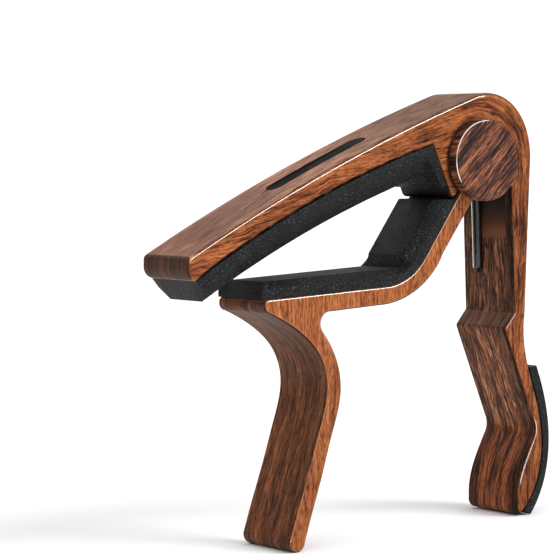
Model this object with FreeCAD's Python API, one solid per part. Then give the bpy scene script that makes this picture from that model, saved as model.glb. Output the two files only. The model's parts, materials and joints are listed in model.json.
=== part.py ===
"""Spring guitar capo: two pivoting castings, soft pads, pivot pin, torsion spring and end caps.

All sizes are millimetres. The side view is drawn in the XZ plane with the pivot at the origin:
the bar reaches towards -X, the rear lever hangs down at +X, and every piece is centred on Y = 0.
The drawing is then tipped by STAND_TILT and moved, so that the capo stands on its two lever ends.
"""

import FreeCAD
import Part
import math
import os

V = FreeCAD.Vector

# ---------------------------------------------------------------- driving dimensions
BODY_WIDTH = 17.0            # both castings, side to side
BAR_EDGE_ROUND = 0.8         # round along the bar lever's side edges
JAW_EDGE_ROUND = 0.45        # and along the jaw lever's

STAND_TILT = 2.4             # degrees about +Y that bring both lever ends to the ground
PIVOT_X = 29.58              # where the pivot ends up, from the middle of the capo
PIVOT_Z = 78.79              # and above the ground

PIN_RADIUS = 2.5
PIN_CLEARANCE = 0.05         # radial, in the jaw lever's ears and the sleeve
PIN_HEAD_RADIUS = 4.2
PIN_HEAD_THICK = 1.1
CAP_RADIUS = 8.75            # round end caps over the pivot
CAP_THICK = 2.4
CAP_EDGE = 0.4
CAP_FIT = 0.05               # play between a cap's recess and the pin's head

HUB_CAVITY_RADIUS = 8.6      # round hollow for the spring, inside the bar lever's hub
HUB_MOUTH_LENGTH = 6.0       # the hollow's opening, where the long leg comes out beside the lever
HUB_MOUTH_HEIGHT = 8.0
CHEEK_THICK = 2.5            # hub walls beside the hollow
CHEEK_RADIUS = 8.4           # the cheeks' lower edge
EAR_RADIUS = 7.4             # the jaw lever's ears, inside the cheeks
EAR_THICK = 1.5
EAR_GAP = 0.15               # between an ear and its cheek

WIRE_RADIUS = 1.15
COIL_RADIUS = 5.0            # to the middle of the wire
COIL_TURNS = 2.5
COIL_PITCH = 2.4
LEG_Y = COIL_TURNS * COIL_PITCH / 2     # the long leg is at +LEG_Y, the short one at -LEG_Y
LONG_LEG_START = -8.6        # drawing Z where the long leg reaches the rear lever's face
LONG_LEG_END = -23.75        # and of its tip
LONG_LEG_PROUD = 0.35        # the long leg's middle stands this far off the lever's face
CRANK_Z = -2.6               # where the long leg turns from the coil out to the face
WIRE_BEND = 2.5              # bend radius of the wire's middle
SHORT_LEG_END = -14.6
LEG_PLAY = 0.12              # around the legs, in the groove and the hole
LEG_RELIEF = 0.27            # around the short leg, where it leaves the hub's hollow
LEG_HOLE_LOW = -17.0         # drawing Z of the blind end of the short leg's hole
SLEEVE_RADIUS = 3.6
SLEEVE_LENGTH = 8.3

PAD_SIDE = BODY_WIDTH / 2 - 0.1     # half width of a pad where it meets its casting
PAD_FACE = 5.85              # half width of a pad's pressing face
SLOT_WIDTH = 4.8
SLOT_FILLING_LOW = 0.1       # the slot's filling lies this far below the slot's line
SLOT_PLAY = 0.03
SLOT_REACH_UP = 4.0          # the slot is cut from above the arched top
SLOT_REACH_DOWN = 7.0        # down past the pad's glued face
SLOT_FROM = V(-50.3, 0, -6.25)       # ends of the slot, on the bar's top
SLOT_TO = V(-25.6, 0, 4.95)


# ---------------------------------------------------------------- outline helpers
def point(xz):
    return V(xz[0], 0, xz[1])


def part_way(a, b, share):
    """Drawing point on the straight line from a to b."""
    return (a[0] + share * (b[0] - a[0]), a[1] + share * (b[1] - a[1]))


def outline(start, *steps):
    """Closed wire in the XZ plane. A step is (x, z) for a straight run, two points for an arc
    through the first to the second, and three or more for a smooth curve through all of them."""
    here = point(start)
    edges = []
    for step in steps:
        if isinstance(step, tuple):
            there = point(step)
            edges.append(Part.LineSegment(here, there).toShape())
        elif len(step) == 2:
            there = point(step[1])
            edges.append(Part.Arc(here, point(step[0]), there).toShape())
        else:
            there = point(step[-1])
            curve = Part.BSplineCurve()
            curve.interpolate([here] + [point(p) for p in step])
            edges.append(curve.toShape())
        here = there
    home = point(start)
    if here.distanceToPoint(home) > 1e-6:
        edges.append(Part.LineSegment(here, home).toShape())
    return Part.Wire(edges)


def slab(wire, half_width):
    """Solid of a flat outline, from Y = -half_width to +half_width."""
    face = Part.Face(wire)
    face.translate(V(0, -half_width, 0))
    return face.extrude(V(0, 2 * half_width, 0))


def rod(radius, y_low, y_high):
    """Round bar on the pivot's axis."""
    return Part.makeCylinder(radius, y_high - y_low, V(0, y_low, 0), V(0, 1, 0))


def mirrored(shape):
    return shape.mirror(V(0, 0, 0), V(0, 1, 0))


def round_corners(solid, corners):
    """Fillet the edges that run across the capo at the given drawing points."""
    for x, z, radius in corners:
        edges = [
            e for e in solid.Edges
            if abs(e.BoundBox.XLength) < 1e-3
            and abs(e.BoundBox.ZLength) < 1e-3
            and math.hypot(e.BoundBox.XMin - x, e.BoundBox.ZMin - z) < 0.05
        ]
        solid = solid.makeFillet(radius, edges)
    return solid


def round_side_edges(solid, radius):
    """Fillet the outline edges of both flat sides, apart from those under the end caps."""
    half = BODY_WIDTH / 2
    edges = [
        e for e in solid.Edges
        if e.BoundBox.YLength < 1e-3
        and abs(abs(e.BoundBox.YMin) - half) < 1e-3
        and math.hypot(e.CenterOfMass.x, e.CenterOfMass.z) > CAP_RADIUS
    ]
    return solid.makeFillet(radius, edges)


# ---------------------------------------------------------------- side view
BAR_TIP_LOW = (-73.5, -24.1)
BAR_TIP_TOP = (-75.75, -19.45)
BAR_ARCH = (-44.3, -8.42)        # middle of the arched underside that the pad is glued to
NOSE_TOP = (-13.3, 3.28)         # the hub's front face runs straight down to the nose
NOSE_LOW = (-8.6, -7.4)

ARM_TOP = (-5.54, -6.63)         # jaw arm's upper surface, on a circle round the pivot
SLOPE_LOW = (-15.39, -20.76)
JAW_BEND = (-19.81, -24.84)
JAW_TOP_REAR = (-25.0, -26.5)
JAW_TOP_FRONT = (-55.9, -28.35)

LEVER_FACE_TOP = (8.5, -6.0)     # rear lever, the face that the spring's long leg lies on
LEVER_FACE_LOW = (9.55, -33.2)
JOG = (6.65, -36.7)              # corner of the step below that face
GRIP_TOP = (14.15, -45.5)
GRIP_LOW = (12.9, -77.1)


def bar_lever_outline():
    return outline(
        BAR_TIP_LOW,
        [(-75.15, -23.3), (-75.8, -21.5)],
        BAR_TIP_TOP,
        [(-37.4, -0.2), (-0.9, 14.2)],               # top of the bar
        [(2.0, 14.6), (7.9, 13.15), (12.2, 9.0), (14.2, 3.6), (14.35, -1.0)],    # round of the hub
        (13.0, -34.0),
        [(12.95, -40.0), GRIP_TOP, (16.85, -54.0), (18.15, -61.5), (17.2, -69.5), GRIP_LOW,
         (11.9, -78.0)],
        [(10.95, -77.35), (10.55, -75.6)],           # rounded end of the rear lever
        [(11.0, -70.7), (12.65, -66.2), (15.0, -61.6)],
        [(15.65, -59.7), (15.2, -57.5)],             # finger hollow
        JOG,
        LEVER_FACE_LOW,
        LEVER_FACE_TOP,
        (5.94, -5.94),
        [(0.0, -CHEEK_RADIUS), (-5.73, -6.14)],      # lower edge of the cheeks
        (-6.6, -7.35),
        [(-7.6, -7.95), NOSE_LOW],                   # nose that stops on the jaw arm
        NOSE_TOP,
        [BAR_ARCH, BAR_TIP_LOW],
    )


def jaw_lever_outline():
    return outline(
        ARM_TOP,
        SLOPE_LOW,
        [JAW_BEND, JAW_TOP_REAR],
        JAW_TOP_FRONT,
        [(-56.75, -28.75), (-57.0, -29.6)],          # rounded front end of the jaw
        [(-56.65, -30.75), (-55.7, -31.3)],
        [(-53.2, -32.45), (-47.85, -35.6), (-43.6, -39.7), (-41.35, -45.9), (-43.35, -55.8),
         (-45.8, -63.5), (-48.75, -72.0), (-50.9, -78.6)],      # front of the front lever
        [(-49.4, -80.81), (-46.7, -79.1)],           # rounded end of the front lever
        [(-44.7, -72.7), (-42.2, -65.2), (-40.1, -58.1), (-37.45, -46.8), (-39.2, -39.9), (-42.05, -35.5)],
        [(-42.35, -32.5), (-39.9, -31.3)],           # root of the lever, under the jaw
        (-27.45, -30.45),
        [(-19.7, -28.75), (-13.6, -24.6)],
        (-2.76, -9.51),
        (-1.94, -8.4),
        [(-3.87, -7.74), ARM_TOP],                   # hollow end, round the pivot
    )


# ---------------------------------------------------------------- castings
def slot_block(clearance, top):
    """Round-ended block in the slot, from top, above the slot's line, down into the pad."""
    run = SLOT_TO.sub(SLOT_FROM)
    radius = SLOT_WIDTH / 2 - clearance
    half = run.Length / 2 - SLOT_WIDTH / 2
    height = SLOT_REACH_DOWN + top
    body = Part.makeBox(2 * half, 2 * radius, height, V(-half, -radius, -SLOT_REACH_DOWN))
    for side in (-1, 1):
        end = Part.makeCylinder(radius, height, V(side * half, 0, -SLOT_REACH_DOWN))
        body = body.fuse(end)
    body = body.removeSplitter()
    body.rotate(V(0, 0, 0), V(0, 1, 0), -math.degrees(math.atan2(run.z, run.x)))
    body.translate(SLOT_FROM.add(SLOT_TO).multiply(0.5))
    return body


def long_leg_point(z):
    """Middle of the spring's long leg, which lies along the rear lever's inner face."""
    lean = (LEVER_FACE_LOW[0] - LEVER_FACE_TOP[0]) / (LEVER_FACE_TOP[1] - LEVER_FACE_LOW[1])
    x = LEVER_FACE_TOP[0] + lean * (LEVER_FACE_TOP[1] - z) - LONG_LEG_PROUD
    return V(x, LEG_Y, z)


def bar_lever():
    body = slab(bar_lever_outline(), BODY_WIDTH / 2)
    body = round_corners(body, [(*BAR_TIP_TOP, 1.3), (*JOG, 0.9), (*LEVER_FACE_LOW, 0.8)])
    body = round_side_edges(body, BAR_EDGE_ROUND)
    inside = BODY_WIDTH / 2 - CHEEK_THICK
    body = body.cut(rod(HUB_CAVITY_RADIUS, -inside, inside))
    mouth_corner = V(LEVER_FACE_TOP[0] - HUB_MOUTH_LENGTH, -inside, -HUB_MOUTH_HEIGHT)
    body = body.cut(Part.makeBox(HUB_MOUTH_LENGTH, 2 * inside, HUB_MOUTH_HEIGHT, mouth_corner))
    body = body.cut(rod(PIN_RADIUS, -BODY_WIDTH, BODY_WIDTH))
    body = body.cut(slot_block(0.0, SLOT_REACH_UP))
    groove_radius = WIRE_RADIUS + LEG_PLAY
    low = long_leg_point(LONG_LEG_END)
    up = long_leg_point(LEVER_FACE_TOP[1]).sub(low)
    body = body.cut(Part.makeCylinder(groove_radius, up.Length, low, up))
    body = body.cut(Part.makeSphere(groove_radius, low))
    relief_low = V(-COIL_RADIUS, -LEG_Y, SHORT_LEG_END)
    return body.cut(Part.makeCylinder(WIRE_RADIUS + LEG_RELIEF, -SHORT_LEG_END, relief_low))


def jaw_lever():
    body = slab(jaw_lever_outline(), BODY_WIDTH / 2)
    body = round_side_edges(body, JAW_EDGE_ROUND)
    ear_outside = BODY_WIDTH / 2 - CHEEK_THICK - EAR_GAP
    neck = outline(ARM_TOP, (-4.9, -4.9), (0.0, -7.0), (-1.94, -8.4), (-4.8, -12.0), (-8.3, -10.9))
    for y_low in (-ear_outside, ear_outside - EAR_THICK):
        root = Part.Face(neck)
        root.translate(V(0, y_low, 0))
        body = body.fuse(root.extrude(V(0, EAR_THICK, 0)))
        body = body.fuse(rod(EAR_RADIUS, y_low, y_low + EAR_THICK))
    body = body.removeSplitter()
    body = body.cut(rod(PIN_RADIUS + PIN_CLEARANCE, -BODY_WIDTH, BODY_WIDTH))
    hole_end = V(-COIL_RADIUS, -LEG_Y, LEG_HOLE_LOW)
    return body.cut(Part.makeCylinder(WIRE_RADIUS + LEG_PLAY, -LEG_HOLE_LOW, hole_end))


# ---------------------------------------------------------------- soft pieces
def bevelled_pad(side_wire, face_wire):
    """Pad with a pressing face narrower than its glued face: side_wire is its outline at the
    sides, face_wire at the edges of the pressing face, with the same number of edges."""
    outer = side_wire.copy()
    outer.translate(V(0, -PAD_SIDE, 0))
    inner = face_wire.copy()
    inner.translate(V(0, -PAD_FACE, 0))
    flank = Part.makeLoft([outer, inner], True, True)
    middle = slab(face_wire, PAD_FACE)
    return middle.fuse([flank, mirrored(flank)]).removeSplitter()


def bar_pad():
    """Arched pad under the bar, with a short flap down the hub's front face."""
    glued = [BAR_ARCH, NOSE_TOP]
    flap_end = part_way(NOSE_TOP, NOSE_LOW, 0.81)
    side = outline(
        BAR_TIP_LOW,
        glued,
        flap_end,
        (-10.6, -5.85),
        (-14.9, 0.85),
        [(-43.4, -10.4), (-71.9, -26.0)],
    )
    face = outline(
        BAR_TIP_LOW,
        glued,
        flap_end,
        (-11.4, -5.85),
        (-14.0, -3.15),
        [(-42.2, -13.75), (-70.6, -28.4)],
    )
    return bevelled_pad(side, face)


def jaw_pad():
    """Pad that follows the arm's slope and the jaw."""
    top_end = part_way(ARM_TOP, SLOPE_LOW, 0.125)
    side = outline(
        top_end,
        SLOPE_LOW,
        [JAW_BEND, JAW_TOP_REAR],
        JAW_TOP_FRONT,
        (-57.1, -28.43),
        (-57.1, -26.2),
        (-20.9, -23.9),
        (-17.3, -20.9),
        (-8.9, -8.4),
    )
    face = outline(
        top_end,
        SLOPE_LOW,
        [JAW_BEND, JAW_TOP_REAR],
        JAW_TOP_FRONT,
        (-57.1, -28.43),
        (-55.5, -24.8),
        (-19.9, -22.75),
        (-19.6, -20.1),
        (-11.35, -8.4),
    )
    return bevelled_pad(side, face)


def lever_grip():
    wire = outline(
        GRIP_TOP,
        (16.3, -45.2),
        [(18.65, -52.0), (20.05, -61.5), (18.9, -70.2), (14.75, -78.2)],
        GRIP_LOW,
        (15.9, -69.5),                               # inside the casting, which is cut away
        (17.0, -61.5),
        (15.7, -54.0),
    )
    grip = slab(wire, PAD_SIDE)
    return grip.cut(slab(bar_lever_outline(), BODY_WIDTH))


def slot_insert():
    return slot_block(SLOT_PLAY, -SLOT_FILLING_LOW).cut(bar_pad())


# ---------------------------------------------------------------- pivot
def pivot_pin():
    half = BODY_WIDTH / 2
    pin = rod(PIN_RADIUS, -half - PIN_HEAD_THICK, half + PIN_HEAD_THICK)
    for low, high in ((-half - PIN_HEAD_THICK, -half), (half, half + PIN_HEAD_THICK)):
        pin = pin.fuse(rod(PIN_HEAD_RADIUS, low, high))
    return pin.removeSplitter()


def far_cap():
    half = BODY_WIDTH / 2
    cap = rod(CAP_RADIUS, half, half + CAP_THICK)
    rim = [
        e for e in cap.Edges
        if abs(e.BoundBox.YMin - half - CAP_THICK) < 1e-3
        and e.BoundBox.YLength < 1e-3
    ]
    cap = cap.makeChamfer(CAP_EDGE, rim)
    return cap.cut(rod(PIN_HEAD_RADIUS + CAP_FIT, 0, half + PIN_HEAD_THICK + CAP_FIT))


def near_cap():
    return mirrored(far_cap())


def spring_sleeve():
    half = SLEEVE_LENGTH / 2
    return rod(SLEEVE_RADIUS, -half, half).cut(rod(PIN_RADIUS + PIN_CLEARANCE, -half, half))


def bent_path(points, radius):
    """Edges of straight runs between the points, joined by tangent arcs."""
    edges = []
    here = points[0]
    for before, corner, after in zip(points, points[1:], points[2:]):
        back = before.sub(corner).normalize()
        ahead = after.sub(corner).normalize()
        half_angle = back.getAngle(ahead) / 2
        middle = back.add(ahead).normalize()
        tangent_length = radius / math.tan(half_angle)
        arc_start = corner.add(back.multiply(tangent_length))
        arc_end = corner.add(ahead.multiply(tangent_length))
        arc_middle = corner.add(middle.multiply(radius / math.sin(half_angle) - radius))
        edges.append(Part.LineSegment(here, arc_start).toShape())
        edges.append(Part.Arc(arc_start, arc_middle, arc_end).toShape())
        here = arc_end
    edges.append(Part.LineSegment(here, points[-1]).toShape())
    return edges


def torsion_spring():
    """One wire: up the long leg, round the coil from +Y to -Y, and down the short leg."""
    tip = long_leg_point(LONG_LEG_END)
    knee = long_leg_point(LONG_LEG_START)
    crank = V(COIL_RADIUS, LEG_Y, CRANK_Z)
    coil_start = V(COIL_RADIUS, LEG_Y, 0)
    coil_end = V(-COIL_RADIUS, -LEG_Y, 0)
    coil = Part.makeHelix(COIL_PITCH, COIL_PITCH * COIL_TURNS, COIL_RADIUS)
    coil.rotate(V(0, 0, 0), V(1, 0, 0), 90)
    coil.translate(V(0, LEG_Y, 0))
    long_leg = bent_path([tip, knee, crank, coil_start], WIRE_BEND)
    short_leg = Part.LineSegment(coil_end, V(-COIL_RADIUS, -LEG_Y, SHORT_LEG_END)).toShape()
    path = Part.Wire(Part.__sortEdges__(long_leg + coil.Edges + [short_leg]))
    along = knee.sub(tip)
    section = Part.Wire(Part.Circle(tip, along, WIRE_RADIUS).toShape())
    return path.makePipeShell([section], True, True)


# ---------------------------------------------------------------- assembly
def place(shape):
    """From the drawing to the ground: tip about the pivot, then lift."""
    shape.rotate(V(0, 0, 0), V(0, 1, 0), STAND_TILT)
    shape.translate(V(PIVOT_X, 0, PIVOT_Z))
    return shape


NODES = {
    "bar_lever": bar_lever,
    "jaw_lever": jaw_lever,
    "bar_pad": bar_pad,
    "jaw_pad": jaw_pad,
    "lever_grip": lever_grip,
    "slot_insert": slot_insert,
    "pivot_pin": pivot_pin,
    "pivot_cap_near": near_cap,
    "pivot_cap_far": far_cap,
    "spring_sleeve": spring_sleeve,
    "torsion_spring": torsion_spring,
}

os.makedirs("parts", exist_ok=True)
for name, build in NODES.items():
    shape = place(build())
    shape.exportStep("parts/" + name + ".step")
    box = shape.optimalBoundingBox(False)
    print(name, shape.isValid(), len(shape.Solids), round(shape.Volume, 1),
          [round(v, 2) for v in (box.XMin, box.XMax, box.YMin, box.YMax, box.ZMin, box.ZMax)])
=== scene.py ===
"""Looks for the spring guitar capo: wood-grain film on the castings and caps, grained silicone on
the pads, a blackened spring wire, and a plain pale studio. Lengths are metres unless a name says mm."""

import json
import math

import bmesh
import bpy
from mathutils import Matrix, Vector


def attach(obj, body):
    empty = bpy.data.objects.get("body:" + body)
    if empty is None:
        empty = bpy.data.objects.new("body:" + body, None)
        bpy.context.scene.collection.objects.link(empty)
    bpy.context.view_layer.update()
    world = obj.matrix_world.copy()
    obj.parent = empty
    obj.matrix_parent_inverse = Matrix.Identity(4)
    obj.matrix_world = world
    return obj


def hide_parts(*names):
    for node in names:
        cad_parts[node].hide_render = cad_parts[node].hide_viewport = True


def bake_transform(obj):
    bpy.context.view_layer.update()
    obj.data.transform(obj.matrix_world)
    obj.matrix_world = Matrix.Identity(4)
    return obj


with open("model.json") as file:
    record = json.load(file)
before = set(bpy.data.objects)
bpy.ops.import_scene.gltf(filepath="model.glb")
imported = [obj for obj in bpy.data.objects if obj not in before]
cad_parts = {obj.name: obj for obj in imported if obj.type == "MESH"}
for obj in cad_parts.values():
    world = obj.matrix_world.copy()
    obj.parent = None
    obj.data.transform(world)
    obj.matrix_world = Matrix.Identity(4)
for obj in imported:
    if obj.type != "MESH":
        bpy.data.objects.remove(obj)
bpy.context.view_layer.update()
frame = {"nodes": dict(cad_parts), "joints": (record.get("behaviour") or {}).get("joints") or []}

MM = 0.001
STAND_TILT = math.radians(2.4)       # the capo's drawing is tipped by this about +Y, to stand
PIVOT = Vector(frame["joints"][0]["pos_m"])
STAND = Matrix.Translation(PIVOT) @ Matrix.Rotation(STAND_TILT, 4, "Y")
LEG_Y_MM = 3.0                       # the spring's long leg lies at +3, its short one at -3
LEG_TIP_MM = -23.75                  # height of the long leg's tip in the drawing


def drawn(x_mm, y_mm, z_mm):
    """Row-frame point for a point of the side-view drawing, whose origin is the pivot."""
    return STAND @ (Vector((x_mm, y_mm, z_mm)) * MM)


# ------------------------------------------------------------------ camera
CAMERA_AT_MM = (-348.72, -426.26, 1.08)
CAMERA_AZIMUTH = math.radians(-35.216)
CAMERA_ELEVATION = math.radians(2.790)
CAMERA_LENS = 162.61                 # on the usual 36 mm sensor


def make_camera():
    data = bpy.data.cameras.new("camera")
    data.lens = CAMERA_LENS
    data.clip_start = 0.01
    camera = bpy.data.objects.new("camera", data)
    bpy.context.scene.collection.objects.link(camera)
    turn = Matrix.Rotation(CAMERA_AZIMUTH, 4, "Z")
    nod = Matrix.Rotation(math.pi / 2 - CAMERA_ELEVATION, 4, "X")
    camera.matrix_world = STAND @ Matrix.Translation(Vector(CAMERA_AT_MM) * MM) @ turn @ nod
    bpy.context.scene.camera = camera


# ------------------------------------------------------------------ material helper
class Shader:
    """One node material. Its methods add a node and return that node's output socket."""

    def __init__(self, name):
        self.material = bpy.data.materials.new(name)
        self.material.use_nodes = True
        self.tree = self.material.node_tree
        self.surface = self.tree.nodes["Principled BSDF"]

    def node(self, kind, inputs, **settings):
        made = self.tree.nodes.new("ShaderNode" + kind)
        for name, value in settings.items():
            setattr(made, name, value)
        for key, value in inputs.items():
            self.put(made.inputs[key], value)
        return made

    def put(self, socket, value):
        if isinstance(value, bpy.types.NodeSocket):
            self.tree.links.new(value, socket)
        else:
            socket.default_value = value

    def math(self, operation, *values, clamp=False):
        made = self.node("Math", dict(enumerate(values)), operation=operation, use_clamp=clamp)
        return made.outputs[0]

    def join(self, x, y, z):
        return self.node("CombineXYZ", {"X": x, "Y": y, "Z": z}).outputs[0]

    def split(self, vector):
        return self.node("SeparateXYZ", {0: vector}).outputs

    def noise(self, vector, detail=4.0, roughness=0.55, distortion=0.0):
        made = self.node("TexNoise", {"Vector": vector, "Scale": 1.0, "Detail": detail,
                                      "Roughness": roughness, "Distortion": distortion})
        return made.outputs["Fac"]

    def span(self, value, low, high, to_low=0.0, to_high=1.0, smooth=True):
        kind = "SMOOTHSTEP" if smooth else "LINEAR"
        made = self.node("MapRange", {"Value": value, "From Min": low, "From Max": high,
                                      "To Min": to_low, "To Max": to_high},
                         interpolation_type=kind)
        return made.outputs[0]

    def ramp(self, value, stops):
        """Colour ramp through (place, colour) stops."""
        made = self.node("ValToRGB", {"Fac": value})
        elements = made.color_ramp.elements
        while len(elements) < len(stops):
            elements.new(0.5)
        for element, (place, colour) in zip(elements, stops):
            element.position = place
            element.color = (*colour, 1.0)
        return made.outputs[0]

    def mix(self, share, a, b, blend="MIX"):
        made = self.node("Mix", {0: share}, data_type="RGBA", blend_type=blend)
        self.put(made.inputs[6], a if isinstance(a, bpy.types.NodeSocket) else (*a, 1.0))
        self.put(made.inputs[7], b if isinstance(b, bpy.types.NodeSocket) else (*b, 1.0))
        return made.outputs[2]

    def scaled(self, colour, factor):
        return self.mix(1.0, colour, self.join(factor, factor, factor), blend="MULTIPLY")

    def bump(self, height, distance_mm, strength=1.0):
        made = self.node("Bump", {"Height": height, "Distance": distance_mm * MM,
                                  "Strength": strength})
        self.put(self.surface.inputs["Normal"], made.outputs[0])

    def finish(self, **sockets):
        for name, value in sockets.items():
            key = name.replace("_", " ")
            if isinstance(value, tuple):
                value = (*value, 1.0)
            self.put(self.surface.inputs[key], value)
        return self.material


def drawing_mm(s):
    """The surface point in drawing millimetres, as x, y and z sockets."""
    place = s.node("TexCoord", {}).outputs["Object"]
    back = s.node("Mapping", {"Vector": place, "Location": PIVOT, "Scale": (MM, MM, MM),
                              "Rotation": (0.0, STAND_TILT, 0.0)}, vector_type="TEXTURE")
    return s.split(back.outputs[0])


def facing(s):
    """The surface's own direction, as x, y and z sockets."""
    return s.split(s.node("TexCoord", {}).outputs["Normal"])


# ------------------------------------------------------------------ wood film
# the film's tones, dark to light; the fronts' tones are darker and the tops' greyer than the sides'
# partly as painted shade and painted sheen, partly as the print's own look
SIDE_TONES = [(0.40, (0.040, 0.010, 0.004)), (0.45, (0.150, 0.040, 0.012)),
              (0.51, (0.310, 0.086, 0.024)), (0.60, (0.460, 0.150, 0.048))]
JAW_TONES = [(0.38, (0.120, 0.034, 0.011)), (0.45, (0.260, 0.074, 0.022)),
             (0.52, (0.370, 0.112, 0.034)), (0.62, (0.490, 0.170, 0.060))]
TOP_TONES = [(0.39, (0.070, 0.028, 0.015)), (0.46, (0.210, 0.090, 0.052)),
             (0.53, (0.330, 0.150, 0.090)), (0.62, (0.420, 0.215, 0.140))]
STREAKED_TONES = [(0.42, (0.030, 0.010, 0.004)), (0.50, (0.150, 0.050, 0.019)),
                  (0.58, (0.330, 0.135, 0.063))]
LEVER_TONES = [(0.40, (0.036, 0.011, 0.004)), (0.50, (0.125, 0.039, 0.013)),
               (0.60, (0.250, 0.090, 0.036))]
TIP_TONES = [(0.43, (0.130, 0.044, 0.018)), (0.50, (0.380, 0.140, 0.064)),
             (0.57, (0.680, 0.290, 0.150))]
LOW_TONES = [(0.43, (0.020, 0.006, 0.002)), (0.49, (0.105, 0.030, 0.010)),
             (0.56, (0.300, 0.086, 0.029))]
# dark of the grain's veins, also used for painted shade round the caps, on the hub's nose and on the
# upper rounded edges
VEIN_AND_SHADE_TONE = (0.008, 0.004, 0.003)
# near-black of painted shade on the slot's walls and in the spring's groove
RECESS_SHADE_TONE = (0.006, 0.005, 0.005)
# near-white of the painted highlights on the castings' edges, the caps' rim and the spring's leg
HIGHLIGHT_TONE = (0.95, 0.87, 0.75)

# the grain's layers: seed, length and width in mm, detail
WANDER = (7.0, 22.0, 9.0, 3.0)
BANDS = (1.0, 36.0, 2.6, 3.0)
LINES = (2.0, 7.0, 0.48, 4.0)
PORES = (3.0, 1.7, 0.26, 2.0)
DASHES = (3.0, 5.5, 0.26, 2.0)       # the pores of upward faces, which are longer
VEINS = (4.0, 9.0, 1.3)              # veins have a detail of their own
WANDER_MM = 5.0                      # how far the grain strays sideways
THIN_VEIN, WIDE_VEIN = 0.035, 0.065  # reach of a vein in its cloud

# where the film is made lighter or darker: (from, to) in drawing mm, (factor there, factor here)
BAR_TOP_PAINTED_LIGHT = ((-50.0, -10.0), (1.38, 0.64))       # x, from the bar's front to its rear: painted light and shade, the top lighter at the front and darker at the rear
HUB_SIDE_FADE = ((2.0, 9.0), (0.96, 0.80))          # x, behind the pivot
BELOW_JOG_PAINTED_LIGHT = ((-30.0, -40.0), (1.0, 1.45))      # z, on the rear lever's front: painted light, lighter below the jog
MIDDLE_PAINTED_LIGHT = ((3.0, 8.0), (1.25, 0.66))            # |y|, from the middle to both edges: painted light and shade, lighter in the middle and darker at the edges
NEAR_EDGE_PAINTED_SHADE = ((-4.0, -8.0), (1.0, 0.50))        # y, the near edge again: painted shade, darker at the near edge
JAW_SIDE_FADE = ((-36.0, -46.0), (1.0, 0.85))       # z, down the front lever's sides
JAW_ACROSS_PAINTED_SHADE = ((-7.5, 4.0), (0.88, 1.28))       # y, across the front lever's front: painted shade, darker at the near side
JAW_UPPER_FADE = ((-50.0, -38.0), (1.0, 0.80))      # z, up the front lever's front
PORE_FADE = ((0.38, 0.52), (0.45, 1.10))            # by the pores' noise, not by place
LOW_TONES_FROM, LOW_TONES_FULL = -55.0, -62.0       # z, the rear lever's redder end
TIP_FROM, TIP_FULL, TIP_SHARE = -72.0, -75.0, 0.9   # x, the bar's front end
SLOT_WALL_FROM, SLOT_WALL_FULL = 2.6, 2.45          # |y|, just outside the slot's walls

# by a surface's direction: how far sideways or upwards it has to face
FLAT_SIDE = (0.84, 0.92)
UPWARD = (0.45, 0.8)
BAR_EDGE, JAW_EDGE, EDGE_END = 0.95, 0.92, 0.985    # the painted highlight line on the rounded edges
HIGHLIGHT_SHARE, HIGHLIGHT_METAL = 0.9, 0.6
FILM_ROUGHNESS, HIGHLIGHT_ROUGHNESS = 0.5, 0.25


def streaks(s, along, across, seed, length, width, detail=5.0):
    """Noise drawn out along the grain: streaks about length by width, in millimetres."""
    place = s.join(s.math("DIVIDE", along, length), s.math("DIVIDE", across, width), seed)
    return s.noise(place, detail=detail, roughness=0.6)


def veins(s, along, across, seed, length, width, reach):
    """Thin lines that wander along the grain: 1 on a line, 0 off it."""
    cloud = streaks(s, along, across, seed, length, width, detail=4.0)
    off = s.math("ABSOLUTE", s.math("SUBTRACT", cloud, 0.5))
    return s.span(off, reach, 0.0)


def band(s, value, low, high, soft):
    """1 where the value is between low and high, 0 elsewhere."""
    return s.math("MULTIPLY", s.span(value, low - soft, low + soft),
                  s.span(value, high + soft, high - soft))


def fade(s, colour, value, places, factors):
    """The colour scaled by factors[0] at places[0], up to factors[1] at places[1]."""
    return s.scaled(colour, s.span(value, *places, *factors))


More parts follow.
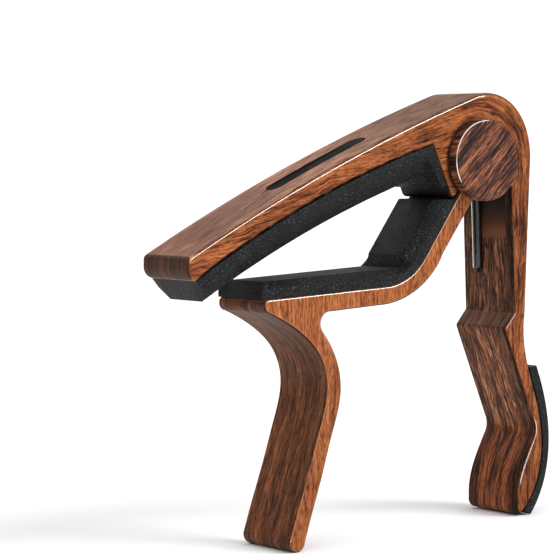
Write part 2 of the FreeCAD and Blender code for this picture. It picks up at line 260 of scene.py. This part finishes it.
def wood_film(name, grain, side_tones, face_tones, vein_share, is_bar):
    s = Shader(name)
    x, y, z = drawing_mm(s)
    nx, ny, nz = facing(s)
    sideways = s.math("ABSOLUTE", ny)
    flat_side = s.span(sideways, *FLAT_SIDE)
    upward = s.span(nz, *UPWARD)
    along, across = grain(s, x, z)
    cut = s.math("ADD", s.math("MULTIPLY", across, flat_side),
                 s.math("MULTIPLY", y, s.math("SUBTRACT", 1.0, flat_side)))
    wander = streaks(s, along, cut, *WANDER)
    cut = s.math("ADD", cut, s.math("MULTIPLY", wander, WANDER_MM))
    bands = streaks(s, along, cut, *BANDS)
    lines = streaks(s, along, cut, *LINES)
    pores = streaks(s, along, cut, *PORES)
    dashes = streaks(s, along, cut, *DASHES)
    thin_veins = veins(s, along, cut, *VEINS, THIN_VEIN)
    wide_veins = veins(s, along, cut, *VEINS, WIDE_VEIN)
    tone = blend_of(s, lines, bands, 0.6)
    fine = blend_of(s, lines, dashes, 0.55)
    side = s.mix(s.math("MULTIPLY", thin_veins, 0.35 * vein_share),
                 s.ramp(tone, side_tones), VEIN_AND_SHADE_TONE)
    inner = s.mix(s.math("MULTIPLY", wide_veins, vein_share), s.ramp(tone, face_tones), VEIN_AND_SHADE_TONE)
    top = s.ramp(fine, TOP_TONES)
    if is_bar:
        # painted light and shade: the bar's top lighter at the front, the rear lever's front lighter
        # below the jog and in the middle, darkest at the near edge
        top = fade(s, top, x, *BAR_TOP_PAINTED_LIGHT)
        side = fade(s, side, x, *HUB_SIDE_FADE)
        inner = fade(s, inner, z, *BELOW_JOG_PAINTED_LIGHT)
        inner = s.mix(s.span(z, LOW_TONES_FROM, LOW_TONES_FULL), inner, s.ramp(tone, LOW_TONES))
        inner = fade(s, inner, s.math("ABSOLUTE", y), *MIDDLE_PAINTED_LIGHT)
        inner = fade(s, inner, y, *NEAR_EDGE_PAINTED_SHADE)
        inner = s.mix(s.span(x, TIP_FROM, TIP_FULL, 0.0, TIP_SHARE), inner,
                      s.ramp(fine, TIP_TONES))
    else:
        side = fade(s, side, z, *JAW_SIDE_FADE)
        # painted shade: the front lever's front darker towards its near side
        inner = fade(s, inner, y, *JAW_ACROSS_PAINTED_SHADE)
        inner = fade(s, inner, z, *JAW_UPPER_FADE)
    # sides, tops and fronts take their own tones: partly the print, partly painted light, with the
    # fronts darker and the tops greyer as the light falls
    colour = s.mix(flat_side, s.mix(upward, inner, top), side)
    longer = s.math("MULTIPLY", upward, s.math("SUBTRACT", dashes, pores))
    colour = fade(s, colour, s.math("ADD", pores, longer), *PORE_FADE)
    if is_bar:
        # painted shade on the slot's walls
        slot_wall_shade = s.math("MULTIPLY", flat_side,
                           s.span(s.math("ABSOLUTE", y), SLOT_WALL_FROM, SLOT_WALL_FULL))
        colour = s.mix(slot_wall_shade, colour, RECESS_SHADE_TONE)
        # painted shade: in the hub's hollow, round the caps, on the hub's nose and in the spring's
        # groove
        colour = bare_casting_and_shade(s, colour, y, z, nx)
        colour = cap_shadow(s, colour, x, z, flat_side)
        colour = nose_shade(s, colour, x, z, nx)
        colour = leg_groove_shade(s, colour, x, y, z)
    # painted shade: a dark band on the upper rounded edges, just above the highlight line
    edge_shade = s.math("MULTIPLY", band(s, sideways, 0.30, 0.80, 0.1), s.span(nz, 0.3, 0.5))
    colour = s.mix(s.math("MULTIPLY", edge_shade, 0.35), colour, VEIN_AND_SHADE_TONE)
    # painted highlight: a near-white line on the rounded edges, with a part-metal, glossier finish
    # there
    line = band(s, sideways, BAR_EDGE if is_bar else JAW_EDGE, EDGE_END, 0.01)
    highlight = s.math("MULTIPLY", line, highlight_places(s, z, nx, nz, is_bar))
    colour = s.mix(s.math("MULTIPLY", highlight, HIGHLIGHT_SHARE), colour, HIGHLIGHT_TONE)
    s.bump(lines, 0.04, 0.25)
    return s.finish(Base_Color=colour, Metallic=s.math("MULTIPLY", highlight, HIGHLIGHT_METAL),
                    Roughness=s.span(highlight, 0.0, 1.0, FILM_ROUGHNESS, HIGHLIGHT_ROUGHNESS),
                    Specular_IOR_Level=0.12)


def blend_of(s, first, second, share):
    """A share of the first value and the rest of the second."""
    return s.math("ADD", s.math("MULTIPLY", first, share),
                  s.math("MULTIPLY", second, round(1.0 - share, 2)))


def highlight_places(s, z, nx, nz, is_bar):
    """Where the painted highlight line goes on the rounded edges, from 0 to 1: on the jaw the upper
    edges and faintly all others, on the bar the upper front edges and the rear lever's hollow.
    """
    if not is_bar:
        return s.math("MAXIMUM", s.span(nz, 0.12, 0.20), 0.10)
    ahead = s.span(nx, 0.0, -0.04)
    hollow = s.math("MULTIPLY", band(s, z, -71.0, -57.0, 1.0), ahead)
    upper = s.math("MULTIPLY", s.span(nz, 0.06, 0.14), ahead)
    return s.math("MAXIMUM", hollow, upper)


def cap_shadow(s, colour, x, z, flat_side):
    """Painted shadow round a cap's edge on the hub's side, widest at the front and below."""
    SHADOW_OUTER, SHADOW_FULL = 9.9, 9.2
    LEAN_FROM, LEAN_FULL = 5.0, -3.0
    reach = s.math("SQRT", s.math("ADD", s.math("MULTIPLY", x, x), s.math("MULTIPLY", z, z)))
    lean = s.math("ADD", s.math("MULTIPLY", x, 0.9), s.math("MULTIPLY", z, 0.4))
    shadow = s.math("MULTIPLY", s.span(reach, SHADOW_OUTER, SHADOW_FULL),
                  s.span(lean, LEAN_FROM, LEAN_FULL))
    shadow = s.math("MULTIPLY", shadow, flat_side)
    return s.mix(s.math("MULTIPLY", shadow, 0.88), colour, VEIN_AND_SHADE_TONE)


def nose_shade(s, colour, x, z, nx):
    """Painted shade: the hub's front face below the pad's flap is made nearly black."""
    FLAP_END, FLAP_END_FULL = -4.6, -5.4
    NOSE_BACK, NOSE_BACK_FULL = -6.0, -7.0
    low = s.math("MULTIPLY", s.span(z, FLAP_END, FLAP_END_FULL),
                 s.span(x, NOSE_BACK, NOSE_BACK_FULL))
    front = s.math("MULTIPLY", low, s.span(nx, -0.3, -0.6))
    return s.mix(s.math("MULTIPLY", front, 0.85), colour, VEIN_AND_SHADE_TONE)


def leg_groove_shade(s, colour, x, y, z):
    """Painted shade, nearly black, in the groove under the spring's long leg, but not past the leg's
    tip.
    """
    GROOVE_OUTER, GROOVE_FULL = 1.30, 1.15      # from the groove's middle line
    FACE_FRONT, FACE_BACK = 5.0, 10.0           # the rear lever's front face is between these
    GROOVE_TOP, PAST_TIP = -7.0, 0.4
    below = s.math("MAXIMUM", s.math("SUBTRACT", LEG_TIP_MM, z), 0.0)
    aside = s.math("SUBTRACT", y, LEG_Y_MM)
    away = s.math("SQRT", s.math("ADD", s.math("MULTIPLY", below, below),
                                 s.math("MULTIPLY", aside, aside)))
    groove = s.math("MULTIPLY", s.span(away, GROOVE_OUTER, GROOVE_FULL),
                    band(s, x, FACE_FRONT, FACE_BACK, 0.2))
    groove = s.math("MULTIPLY", groove, band(s, z, LEG_TIP_MM - PAST_TIP, GROOVE_TOP, 0.3))
    return s.mix(groove, colour, RECESS_SHADE_TONE)


def bare_casting_and_shade(s, colour, y, z, nx):
    """No film in the hub's hollow: smooth brown, with painted shade that darkens it upwards to black
    near the top.
    """
    BARE_FROM, BARE_FULL = -17.6, -16.2
    DARK_FROM, DARK_FULL = -17.0, -8.0
    CHEEK_FROM, CHEEK_FULL = 6.6, 6.2           # the cheeks' inner sides, as |y|
    inside = s.math("MULTIPLY", s.span(s.math("ABSOLUTE", y), CHEEK_FROM, CHEEK_FULL),
                    s.span(nx, -0.3, -0.6))
    bare = s.math("MULTIPLY", inside, s.span(z, BARE_FROM, BARE_FULL))
    hollow_tone_and_shade = s.ramp(s.span(z, DARK_FROM, DARK_FULL), [(0.0, (0.200, 0.066, 0.024)),
                                                       (0.3, (0.085, 0.027, 0.012)),
                                                       (1.0, (0.008, 0.005, 0.004))])
    return s.mix(bare, colour, hollow_tone_and_shade)


def grain_of_bar(s, x, z):
    """Along and across the grain: it runs up the bar, round the hub and down the rear lever."""
    bar_normal, lever_normal = math.radians(104), math.radians(-2.5)
    BEND_MM = 12.0                              # the grain's length per radian of the hub
    middle, half = (bar_normal + lever_normal) / 2, (bar_normal - lever_normal) / 2
    ahead = s.math("ADD", s.math("MULTIPLY", x, math.cos(middle)),
                   s.math("MULTIPLY", z, math.sin(middle)))
    aside = s.math("SUBTRACT", s.math("MULTIPLY", z, math.cos(middle)),
                   s.math("MULTIPLY", x, math.sin(middle)))
    angle = s.math("MINIMUM", s.math("MAXIMUM", s.math("ARCTAN2", aside, ahead), -half), half)
    c, t = s.math("COSINE", angle), s.math("SINE", angle)
    across = s.math("ADD", s.math("MULTIPLY", ahead, c), s.math("MULTIPLY", aside, t))
    past = s.math("SUBTRACT", s.math("MULTIPLY", aside, c), s.math("MULTIPLY", ahead, t))
    along = s.math("ADD", s.math("MULTIPLY", angle, BEND_MM), past)
    return along, across


def grain_of_jaw(s, x, z):
    """Upright all over: straight down the front lever, and across the jaw and the arm."""
    return z, x


# ------------------------------------------------------------------ silicone, steel, nylon
def silicone(name, light):
    """Fine-grained black silicone. A light below 1 makes it darker and duller."""
    s = Shader(name)
    place = s.node("TexCoord", {}).outputs["Object"]
    speck = s.node("TexNoise", {"Vector": place, "Scale": 2600.0, "Detail": 2.0}).outputs["Fac"]
    cloud = s.node("TexNoise", {"Vector": place, "Scale": 220.0, "Detail": 4.0}).outputs["Fac"]
    colour = s.ramp(speck, [(0.40, (0.0018, 0.0020, 0.0023)), (0.52, (0.0068, 0.0072, 0.0078)),
                            (0.60, (0.0160, 0.0170, 0.0182)), (0.69, (0.075, 0.080, 0.087))])
    colour = s.scaled(colour, s.span(cloud, 0.35, 0.65, 0.5 * light, 1.1 * light))
    s.bump(speck, 0.06, 0.8)
    return s.finish(Base_Color=colour, Roughness=s.span(cloud, 0.3, 0.7, 0.5, 0.65),
                    Specular_IOR_Level=0.25 * light)


def wire_steel():
    """Blackened wire with a painted highlight line down one side of the long leg, part-metal and
    glossier there.
    """
    LEG_HIGHLIGHT_FROM, LEG_HIGHLIGHT_FULL = -7.0, -8.0
    s = Shader("blackened_wire")
    x, y, z = drawing_mm(s)
    drawn_lines = s.noise(s.join(s.math("MULTIPLY", x, 6.0), s.math("MULTIPLY", y, 6.0),
                                 s.math("MULTIPLY", z, 0.6)), detail=3.0)
    colour = s.ramp(drawn_lines, [(0.3, (0.040, 0.040, 0.042)), (0.7, (0.095, 0.095, 0.10))])
    nx, ny, nz = facing(s)
    # painted highlight down one side of the long leg
    highlight = s.math("MULTIPLY", band(s, ny, 0.13, 0.40, 0.02), s.span(nx, -0.5, -0.8))
    highlight = s.math("MULTIPLY", highlight, s.span(z, LEG_HIGHLIGHT_FROM, LEG_HIGHLIGHT_FULL))
    colour = s.mix(s.math("MULTIPLY", highlight, HIGHLIGHT_SHARE), colour, HIGHLIGHT_TONE)
    return s.finish(Base_Color=colour, Metallic=s.span(highlight, 0.0, 1.0, 0.85, 0.5), Roughness=0.25)


def turned_steel():
    s = Shader("turned_steel")
    x, y, z = drawing_mm(s)
    rings = s.noise(s.join(0.0, s.math("MULTIPLY", y, 9.0), 0.0), detail=2.0)
    colour = s.ramp(rings, [(0.3, (0.42, 0.42, 0.43)), (0.7, (0.62, 0.62, 0.63))])
    return s.finish(Base_Color=colour, Metallic=1.0, Roughness=0.3)


def nylon():
    s = Shader("sleeve_nylon")
    place = s.node("TexCoord", {}).outputs["Object"]
    cloud = s.node("TexNoise", {"Vector": place, "Scale": 900.0, "Detail": 2.0}).outputs["Fac"]
    colour = s.ramp(cloud, [(0.3, (0.018, 0.018, 0.02)), (0.7, (0.04, 0.04, 0.043))])
    return s.finish(Base_Color=colour, Roughness=0.5)


def cap_film():
    """The caps' darker print, with a painted highlight, part-metal and glossier, on the upper front
    part of the rim.
    """
    RIM_FROM, RIM_TO = 10.63, 10.76             # the rim's chamfer, as |y|
    GRAIN_LEAN = math.radians(46)
    s = Shader("cap_film")
    x, y, z = drawing_mm(s)
    nx, ny, nz = facing(s)
    along = s.math("ADD", s.math("MULTIPLY", x, math.cos(GRAIN_LEAN)),
                   s.math("MULTIPLY", z, math.sin(GRAIN_LEAN)))
    across = s.math("SUBTRACT", s.math("MULTIPLY", z, math.cos(GRAIN_LEAN)),
                    s.math("MULTIPLY", x, math.sin(GRAIN_LEAN)))
    along = s.math("ADD", along, s.math("MULTIPLY", y, 0.7))
    wander = streaks(s, along, across, 9.0, 14.0, 7.0)
    across = s.math("ADD", across, s.math("MULTIPLY", wander, 1.5))
    broad = streaks(s, along, across, 5.0, 20.0, 2.4, detail=3.0)
    fine = streaks(s, along, across, 6.0, 8.0, 0.42, detail=4.0)
    tone = s.math("ADD", s.math("MULTIPLY", fine, 0.6), s.math("MULTIPLY", broad, 0.4))
    colour = s.ramp(tone, [(0.43, (0.020, 0.011, 0.011)), (0.48, (0.085, 0.031, 0.022)),
                           (0.53, (0.190, 0.062, 0.033)), (0.59, (0.420, 0.150, 0.070))])
    dark = veins(s, along, across, 8.0, 8.0, 0.7, 0.05)
    colour = s.mix(s.math("MULTIPLY", dark, 0.8), colour, VEIN_AND_SHADE_TONE)
    pores = streaks(s, along, across, 10.0, 2.2, 0.28, detail=2.0)
    colour = s.scaled(colour, s.span(pores, 0.38, 0.56, 0.55, 1.15))
    # painted highlight on the upper front part of the rim
    upper_left = s.math("ADD", s.math("MULTIPLY", x, -0.87), s.math("MULTIPLY", z, 0.5))
    rim = s.math("MULTIPLY", band(s, s.math("ABSOLUTE", y), RIM_FROM, RIM_TO, 0.03),
                 s.span(upper_left, 3.4, 4.8))
    colour = s.mix(rim, colour, HIGHLIGHT_TONE)
    s.bump(fine, 0.03, 0.2)
    return s.finish(Base_Color=colour, Metallic=s.math("MULTIPLY", rim, 0.7),
                    Roughness=s.span(rim, 0.0, 1.0, FILM_ROUGHNESS, HIGHLIGHT_ROUGHNESS),
                    Specular_IOR_Level=0.15)


def assign(obj, material):
    obj.data.materials.clear()
    obj.data.materials.append(material)


# ------------------------------------------------------------------ soft pieces
PAD_EDGE_MM = 0.22                   # round on every edge of a moulded piece


def moulded(node, name, material, edge_mm):
    """The CAD solid as a moulded piece: whole flat faces and edges rounded by edge_mm."""
    mesh = frame["nodes"][node].data.copy()
    mesh.name = name
    piece = bpy.data.objects.new(name, mesh)
    bpy.context.scene.collection.objects.link(piece)
    bm = bmesh.new()
    bm.from_mesh(mesh)
    bmesh.ops.remove_doubles(bm, verts=bm.verts, dist=0.001 * MM)
    bmesh.ops.dissolve_limit(bm, angle_limit=math.radians(1.0), verts=bm.verts, edges=bm.edges)
    bm.to_mesh(mesh)
    bm.free()
    bevel = piece.modifiers.new("edges", "BEVEL")
    bevel.width = edge_mm * MM
    bevel.segments = 4
    bevel.limit_method = "ANGLE"
    bevel.angle_limit = math.radians(18)
    bevel.harden_normals = True
    mesh.shade_smooth()
    assign(piece, material)
    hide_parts(node)
    return piece


# ------------------------------------------------------------------ torsion spring
WIRE_RADIUS = 1.15 * MM
COIL_RADIUS_MM = 5.0
COIL_TURNS = 2.5
END_DOME = 0.5                       # height of the wire's rounded ends, in wire radii
POINTS_PER_TURN = 16
WIRE_SIDES = 20
DOME_RINGS = 5


def spring_route():
    """From the long leg's tip up to the coil, round it and down the short leg."""
    route = [drawn(8.82, LEG_Y_MM, LEG_TIP_MM + 0.15), drawn(8.46, LEG_Y_MM, -14.0),
             drawn(8.27, LEG_Y_MM, -9.3), drawn(7.9, LEG_Y_MM, -7.5),
             drawn(5.45, LEG_Y_MM, -3.9), drawn(COIL_RADIUS_MM, LEG_Y_MM, -2.0)]
    for step in range(round(COIL_TURNS * POINTS_PER_TURN) + 1):
        turned = step / POINTS_PER_TURN
        angle = 2 * math.pi * turned
        route.append(drawn(COIL_RADIUS_MM * math.cos(angle),
                           LEG_Y_MM - 2 * LEG_Y_MM * turned / COIL_TURNS,
                           COIL_RADIUS_MM * math.sin(angle)))
    route.append(drawn(-COIL_RADIUS_MM, -LEG_Y_MM, -7.0))
    route.append(drawn(-COIL_RADIUS_MM, -LEG_Y_MM, -14.0))
    return route


def smooth_line(route):
    """The route's NURBS line, as a list of points along it."""
    data = bpy.data.curves.new("route", "CURVE")
    data.dimensions = "3D"
    data.resolution_u = 4
    spline = data.splines.new("NURBS")
    spline.points.add(len(route) - 1)
    for place, at in zip(spline.points, route):
        place.co = (*at, 1.0)
    spline.order_u = 3
    spline.use_endpoint_u = True
    holder = bpy.data.objects.new("route", data)
    mesh = bpy.data.meshes.new_from_object(holder)
    line = [v.co.copy() for v in mesh.vertices]
    bpy.data.objects.remove(holder)
    return line


def round_wire(name, line, radius):
    """A round wire along the line, with a dome on each end."""
    start, end = line[0], line[-1]
    back = (start - line[1]).normalized()
    ahead = (end - line[-2]).normalized()
    quarter = [math.pi / 2 * step / DOME_RINGS for step in range(1, DOME_RINGS)]
    dome = END_DOME * radius
    rings = [(start + back * dome * math.sin(a), radius * math.cos(a)) for a in reversed(quarter)]
    rings += [(at, radius) for at in line]
    rings += [(end + ahead * dome * math.sin(a), radius * math.cos(a)) for a in quarter]
    bm = bmesh.new()
    heading = -back
    side = heading.orthogonal().normalized()
    loops = []
    for index, (centre, reach) in enumerate(rings):
        later = rings[min(index + 1, len(rings) - 1)][0]
        earlier = rings[max(index - 1, 0)][0]
        turn = heading.rotation_difference(later - earlier)
        heading = (later - earlier).normalized()
        side = (turn @ side).normalized()
        other = heading.cross(side)
        loop = []
        for step in range(WIRE_SIDES):
            angle = 2 * math.pi * step / WIRE_SIDES
            outwards = side * math.cos(angle) + other * math.sin(angle)
            loop.append(bm.verts.new(centre + outwards * reach))
        loops.append(loop)
    for low, high in zip(loops, loops[1:]):
        for step in range(WIRE_SIDES):
            after = (step + 1) % WIRE_SIDES
            bm.faces.new((low[step], low[after], high[after], high[step]))
    for loop, tip in ((loops[0], start + back * dome), (loops[-1], end + ahead * dome)):
        top = bm.verts.new(tip)
        for step in range(WIRE_SIDES):
            bm.faces.new((loop[step], loop[(step + 1) % WIRE_SIDES], top))
    bmesh.ops.recalc_face_normals(bm, faces=bm.faces)
    mesh = bpy.data.meshes.new(name)
    bm.to_mesh(mesh)
    bm.free()
    mesh.shade_smooth()
    wire = bpy.data.objects.new(name, mesh)
    bpy.context.scene.collection.objects.link(wire)
    return wire


def make_spring():
    """One blackened wire along the spring's route, from the long leg's tip round the coil to the short
    leg, in place of the CAD spring.
    """
    spring = round_wire("spring_wire", smooth_line(spring_route()), WIRE_RADIUS)
    assign(spring, wire_steel())
    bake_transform(spring)
    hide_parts("torsion_spring")


# ------------------------------------------------------------------ studio
FLOOR_HALF = 30.0                    # metres from the middle of the floor to its edge
DIM_BELOW, FULL_ABOVE = 0.1, 0.6     # height of the sky's direction, 1 straight up
DIM_LIGHT, FULL_LIGHT = 0.12, 1.1
KEY_TOWARDS = (0.42, -0.66, 0.62)
KEY_STRENGTH = 2.2
KEY_WIDTH_DEGREES = 30


def make_world():
    """Dim light from below, full from above, and a plain white backdrop for the camera."""
    world = bpy.data.worlds.new("world")
    bpy.context.scene.world = world
    world.use_nodes = True
    tree = world.node_tree
    light = tree.nodes["Background"]
    light.inputs["Color"].default_value = (1.0, 1.0, 1.0, 1.0)
    height = tree.nodes.new("ShaderNodeSeparateXYZ")
    tree.links.new(tree.nodes.new("ShaderNodeTexCoord").outputs["Generated"], height.inputs[0])
    rise = tree.nodes.new("ShaderNodeMapRange")
    rise.inputs["From Min"].default_value = DIM_BELOW
    rise.inputs["From Max"].default_value = FULL_ABOVE
    rise.inputs["To Min"].default_value = DIM_LIGHT
    rise.inputs["To Max"].default_value = FULL_LIGHT
    tree.links.new(height.outputs["Z"], rise.inputs["Value"])
    tree.links.new(rise.outputs[0], light.inputs["Strength"])
    backdrop = tree.nodes.new("ShaderNodeBackground")
    backdrop.inputs["Color"].default_value = (1.0, 1.0, 1.0, 1.0)
    pick = tree.nodes.new("ShaderNodeMixShader")
    tree.links.new(tree.nodes.new("ShaderNodeLightPath").outputs["Is Camera Ray"], pick.inputs[0])
    tree.links.new(light.outputs[0], pick.inputs[1])
    tree.links.new(backdrop.outputs[0], pick.inputs[2])
    tree.links.new(pick.outputs[0], tree.nodes["World Output"].inputs["Surface"])


def make_floor():
    mesh = bpy.data.meshes.new("floor")
    bm = bmesh.new()
    bmesh.ops.create_grid(bm, x_segments=1, y_segments=1, size=FLOOR_HALF)
    bm.to_mesh(mesh)
    bm.free()
    floor = bpy.data.objects.new("floor", mesh)
    bpy.context.scene.collection.objects.link(floor)
    s = Shader("floor")
    assign(floor, s.finish(Base_Color=(0.9, 0.9, 0.9), Roughness=0.9))


def sun(name, towards, strength, width_degrees):
    """Even light from a wide soft source in the direction given."""
    data = bpy.data.lights.new(name, "SUN")
    data.energy = strength
    data.angle = math.radians(width_degrees)
    lamp = bpy.data.objects.new(name, data)
    bpy.context.scene.collection.objects.link(lamp)
    lamp.rotation_euler = Vector(towards).to_track_quat("Z", "Y").to_euler()


# ------------------------------------------------------------------ assembly
make_camera()
make_world()
make_floor()
sun("key", KEY_TOWARDS, KEY_STRENGTH, KEY_WIDTH_DEGREES)
bpy.context.scene.view_settings.view_transform = "Standard"

nodes = frame["nodes"]
bar_film = wood_film("bar_film", grain_of_bar, SIDE_TONES, STREAKED_TONES, 0.9, True)
jaw_film = wood_film("jaw_film", grain_of_jaw, JAW_TONES, LEVER_TONES, 0.35, False)
assign(nodes["bar_lever"], bar_film)
assign(nodes["jaw_lever"], jaw_film)
cap = cap_film()
assign(nodes["pivot_cap_near"], cap)
assign(nodes["pivot_cap_far"], cap)
assign(nodes["pivot_pin"], turned_steel())
assign(nodes["spring_sleeve"], nylon())
make_spring()

rubber = silicone("silicone", light=0.85)
sunk_rubber = silicone("sunk_silicone", light=0.2)      # painted shade: the slot's sunk filling is made darker and duller than the pads
for node, body, material in (("bar_pad", "bar_side", rubber), ("jaw_pad", "jaw_side", rubber),
                             ("lever_grip", "bar_side", rubber),
                             ("slot_insert", "bar_side", sunk_rubber)):
    piece = moulded(node, node + "_silicone", material, PAD_EDGE_MM)
    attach(piece, body)
